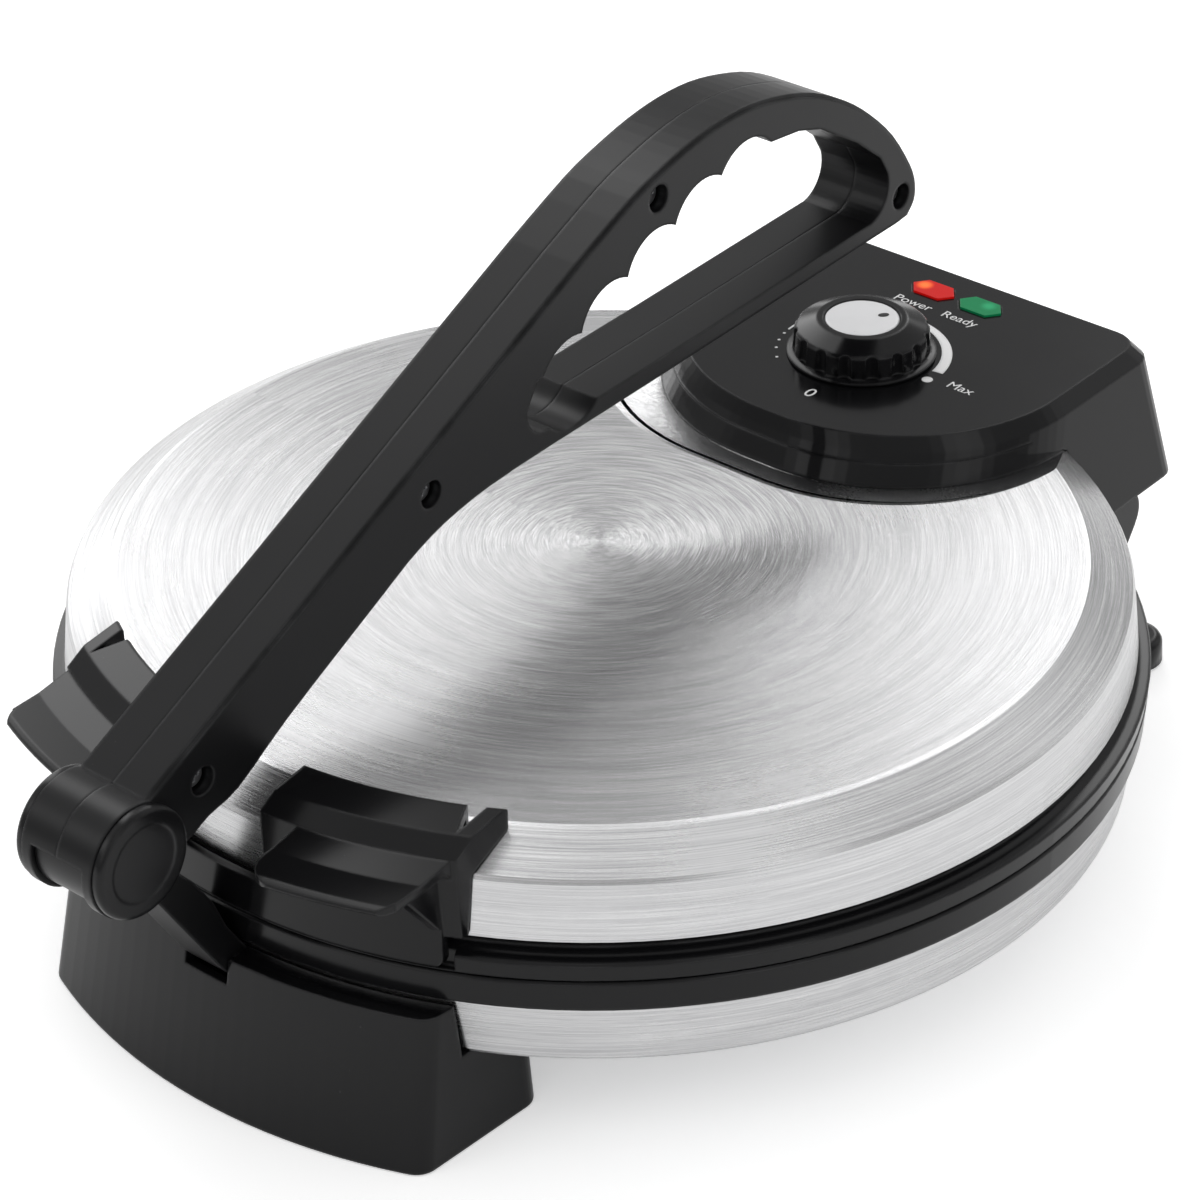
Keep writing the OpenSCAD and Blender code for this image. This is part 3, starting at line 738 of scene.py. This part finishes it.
@dataclass
class KnobPointer:
    """Oval pointer dot let into the knob's silver insert."""

    wardrobe: Wardrobe
    off: tuple[float, float] = (0.0038, 0.0050)
    long_half: float = 0.0016
    short_half: float = 0.0010
    angle: float = 53.0
    gap: float = 0.00001
    height: float = 0.00012

    def build(self) -> None:
        """Makes the dot and fixes it to the knob."""
        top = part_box("knob_insert")[1].z
        a = math.radians(self.angle)
        along = Vector((math.cos(a), math.sin(a))) * self.long_half
        across = Vector((-math.sin(a), math.cos(a))) * self.short_half
        dot = oval_piece("knob_pointer", box_middle("knob").xy + Vector(self.off), along, across,
                         top + self.gap, top + self.height, 32)
        self.wardrobe.dress(dot, DARK_PRINT)
        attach(dot, "knob")
        log.info("made %s", dot.name)


@dataclass
class RearToe:
    """Rounded toe that runs out from a rear leg's foot, seen past the rim from the front."""

    wardrobe: Wardrobe
    side: int
    leg_at: tuple[float, float] = (0.061, 0.154)
    tip_at: tuple[float, float] = (0.0725, 0.1645)
    radius: float = 0.0092
    levels: tuple[tuple[float, float], ...] = (
        (0.0004, -0.0008), (0.0010, 0.0), (0.0072, -0.0004), (0.0084, -0.0011), (0.0090, -0.0026))
    steps: int = 20

    def outline(self, grow: float, height: float) -> list[tuple[float, float, float]]:
        """Corners of the toe's plan at one height.

        Args:
            grow: How much wider than the toe's own radius the plan is.
            height: Height of the plan.

        Returns:
            Corners of two half circles, one round the tip and one round the leg.
        """
        start, tip = Vector(self.leg_at), Vector(self.tip_at)
        lean = math.atan2(tip.y - start.y, tip.x - start.x)
        reach = self.radius + grow
        points = []
        for centre, turn in ((tip, -math.pi / 2), (start, math.pi / 2)):
            for k in range(self.steps + 1):
                a = lean + turn + math.pi * k / self.steps
                x, y = centre.x + reach * math.cos(a), centre.y + reach * math.sin(a)
                points.append((x * self.side, y, height))
        return points

    def build(self) -> None:
        """Stacks the outlines into a closed toe that stands with the leg."""
        rings = [self.outline(grow, height) for height, grow in self.levels]
        n = len(rings[0])
        vertices = [p for ring in rings for p in ring]
        faces = [tuple(range(n)), tuple(range(len(vertices) - n, len(vertices)))]
        for row in range(len(rings) - 1):
            for k in range(n):
                a, b = row * n + k, row * n + (k + 1) % n
                faces.append((a, b, b + n, a + n))
        toe = mesh_piece("rear_toe_right" if self.side > 0 else "rear_toe_left", vertices, faces)
        for face in toe.data.polygons:
            face.use_smooth = len(face.vertices) == 4
        self.wardrobe.dress(toe, GLOSS)
        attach(toe, "base")
        log.info("made %s", toe.name)


@dataclass(frozen=True)
class LightBox:
    """Soft upright patch of light in the room that shiny faces mirror, in degrees."""

    azimuth: float
    half_width: float
    low: float
    high: float
    power: float


@dataclass(frozen=True)
class SoftLamp:
    """Area lamp aimed at the part, in metres and watts."""

    name: str
    at: tuple[float, float, float]
    size: tuple[float, float]
    power: float


@dataclass
class Studio:
    """Pale floor, soft lamps, room and camera."""

    camera_at: tuple[float, float, float] = (0.5739, -0.6652, 0.6354)
    camera_back: tuple[float, float, float] = (0.5458, -0.6418, 0.5388)
    camera_roll: float = -0.96
    lens: float = 117.3
    sensor: float = 36.0
    clip: tuple[float, float] = (0.05, 50.0)
    floor_size: float = 6.0
    floor_tones: tuple[Colour, Colour] = ((0.93, 0.93, 0.93), (0.95, 0.95, 0.95))
    room_light: float = 0.82
    room_tone: float = 0.46
    floor_lift: float = 0.36
    mirrored_lift: float = 0.10
    box_blur: float = 0.45
    box_fade: tuple[float, float] = (6.0, 8.0)
    aim_height: float = 0.06
    boxes: tuple[LightBox, ...] = (
        LightBox(110.0, 8.0, 20.0, 75.0, 2.8),
        LightBox(156.0, 13.0, 10.0, 75.0, 2.7),
        LightBox(205.0, 20.0, 10.0, 60.0, 0.3),
        LightBox(226.0, 12.0, 26.0, 44.0, 1.5),
        LightBox(60.0, 18.0, 10.0, 50.0, 0.4),
        LightBox(262.0, 13.0, 15.0, 50.0, 1.0),
        LightBox(345.0, 12.0, 10.0, 55.0, 0.8),
    )
    lamps: tuple[SoftLamp, ...] = (
        SoftLamp("window", (-1.3, 0.9, 1.5), (1.4, 1.0), 11.0),
        SoftLamp("right_box", (1.7, 0.3, 1.0), (0.8, 1.2), 5.0),
        SoftLamp("front_box", (-0.9, -1.7, 0.8), (0.9, 0.9), 3.5),
    )

    def build_camera(self) -> None:
        """Places the camera with the photograph's view."""
        back = Vector(self.camera_back).normalized()
        level = Vector((0, 0, 1)).cross(back).normalized()
        upright = back.cross(level)
        c, s = math.cos(math.radians(self.camera_roll)), math.sin(math.radians(self.camera_roll))
        right, up = level * c + upright * s, upright * c - level * s
        data = bpy.data.cameras.new("camera")
        data.lens = self.lens
        data.sensor_width = self.sensor
        data.clip_start, data.clip_end = self.clip
        camera = bpy.data.objects.new("camera", data)
        turn = Matrix((right, up, back)).transposed().to_4x4()
        camera.matrix_world = Matrix.Translation(Vector(self.camera_at)) @ turn
        bpy.context.scene.collection.objects.link(camera)
        bpy.context.scene.camera = camera

    def build_floor(self) -> None:
        """Lays the pale floor, a little uneven in tone."""
        h = self.floor_size / 2
        floor = mesh_piece("floor", [(-h, -h, 0), (h, -h, 0), (h, h, 0), (-h, h, 0)], [(0, 1, 2, 3)])
        g = Graph("pale_floor")
        at = g.place()
        path = g.node("ShaderNodeLightPath")
        seen = Socket(g, path.outputs["Is Camera Ray"]) * self.floor_lift
        seen = seen + Socket(g, path.outputs["Is Glossy Ray"]) * self.mirrored_lift
        floor.data.materials.append(g.finish({
            "Base Color": g.mix(g.noise(at, 3.0), *self.floor_tones),
            "Roughness": 0.8 + g.noise(at, 200.0) * 0.1,
            "Specular IOR Level": 0.0,
            "Emission Color": (1.0, 1.0, 1.0, 1.0),
            "Emission Strength": seen,
        }))

    def hang(self, lamp: SoftLamp) -> None:
        """Hangs one lamp, aimed at the part and unseen in mirrors.

        Args:
            lamp: The lamp to hang.
        """
        data = bpy.data.lights.new(lamp.name, "AREA")
        data.shape = "RECTANGLE"
        data.size, data.size_y = lamp.size
        data.energy = lamp.power
        hung = bpy.data.objects.new(lamp.name, data)
        hung.location = lamp.at
        hung.visible_glossy = False
        aim = Vector((0, 0, self.aim_height)) - Vector(lamp.at)
        hung.rotation_euler = aim.to_track_quat("-Z", "Y").to_euler()
        bpy.context.scene.collection.objects.link(hung)

    def room_as_mirrored(self, g: Graph) -> Socket:
        """Brightness of the room that shiny faces mirror, by direction.

        Args:
            g: The world's graph.

        Returns:
            A dim room with soft upright light boxes round it.
        """
        x, y, z = g.split(g.place(world=True))
        turn = g.math("ARCTAN2", y, x)
        rise = g.math("ARCSINE", z)
        total = rise.ramp(-0.2, 1.4, self.room_tone * 0.8, self.room_tone * 1.5)
        below, above = self.box_fade
        for box in self.boxes:
            away = g.math("ARCCOSINE", g.math("COSINE", turn - math.radians(box.azimuth)))
            half = math.radians(box.half_width)
            edge = math.radians(box.half_width * self.box_blur)
            across = away.ramp(half - edge, half + edge, 1.0, 0.0)
            foot = rise.ramp(math.radians(box.low - below), math.radians(box.low + below))
            head = rise.ramp(math.radians(box.high - above), math.radians(box.high + above), 1.0, 0.0)
            total = total + across * (foot * head) * box.power
        return total

    def build_world(self) -> None:
        """Lights the room evenly, shows it white to the camera and with light boxes in mirrors."""
        g = Graph("room", bpy.data.worlds)
        bpy.context.scene.world = g.material
        path = g.node("ShaderNodeLightPath")
        glossy = Socket(g, path.outputs["Is Glossy Ray"])
        camera = Socket(g, path.outputs["Is Camera Ray"])
        light = glossy * self.room_as_mirrored(g) + (1.0 - glossy) * self.room_light
        light = camera + (1.0 - camera) * light
        shown = g.node("ShaderNodeBackground", None, {"Color": (1, 1, 1, 1), "Strength": light})
        output = g.node("ShaderNodeOutputWorld")
        g.tree.links.new(shown.outputs[0], output.inputs[0])

    def build(self) -> None:
        """Sets up floor, lamps, room and camera."""
        self.build_camera()
        self.build_floor()
        self.build_world()
        for lamp in self.lamps:
            self.hang(lamp)
        bpy.context.scene.view_settings.view_transform = "Standard"


def main() -> None:
    """Dresses the model, prints its dial and sets up the studio."""
    wardrobe = Wardrobe()
    wardrobe.dress_frame()
    Dial(wardrobe).build()
    KnobPointer(wardrobe).build()
    for side in (-1, 1):
        RearToe(wardrobe, side).build()
    Studio().build()


if __name__ == "__main__":
    main()
